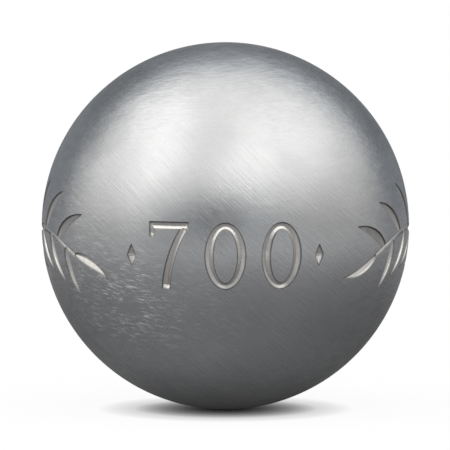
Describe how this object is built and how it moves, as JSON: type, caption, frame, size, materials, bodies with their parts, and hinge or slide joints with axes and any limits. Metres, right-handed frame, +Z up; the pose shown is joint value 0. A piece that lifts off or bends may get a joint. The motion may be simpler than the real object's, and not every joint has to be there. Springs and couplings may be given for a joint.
{
  "type": "petanque boule",
  "caption": "Hollow steel petanque boule: two forged half shells joined round the rim by a flush weld seam, with satin brushed outside.",
  "frame": {"origin": "centre of the ball", "axes": "+Z up, -Y towards the viewer of the picture, along the axis of the two half shells; the weld lies in the XZ plane"},
  "size_m": [0.074, 0.074, 0.074],
  "materials": {
    "shell_steel": "satin, fine hand-brushed scratches",
    "weld_steel": "turned flush and brushed as the shells are"
  },
  "bodies": {
    "root": {"front_half_shell": "shell_steel", "rear_half_shell": "shell_steel", "weld_seam": "weld_steel"}
  },
  "joints": []
}
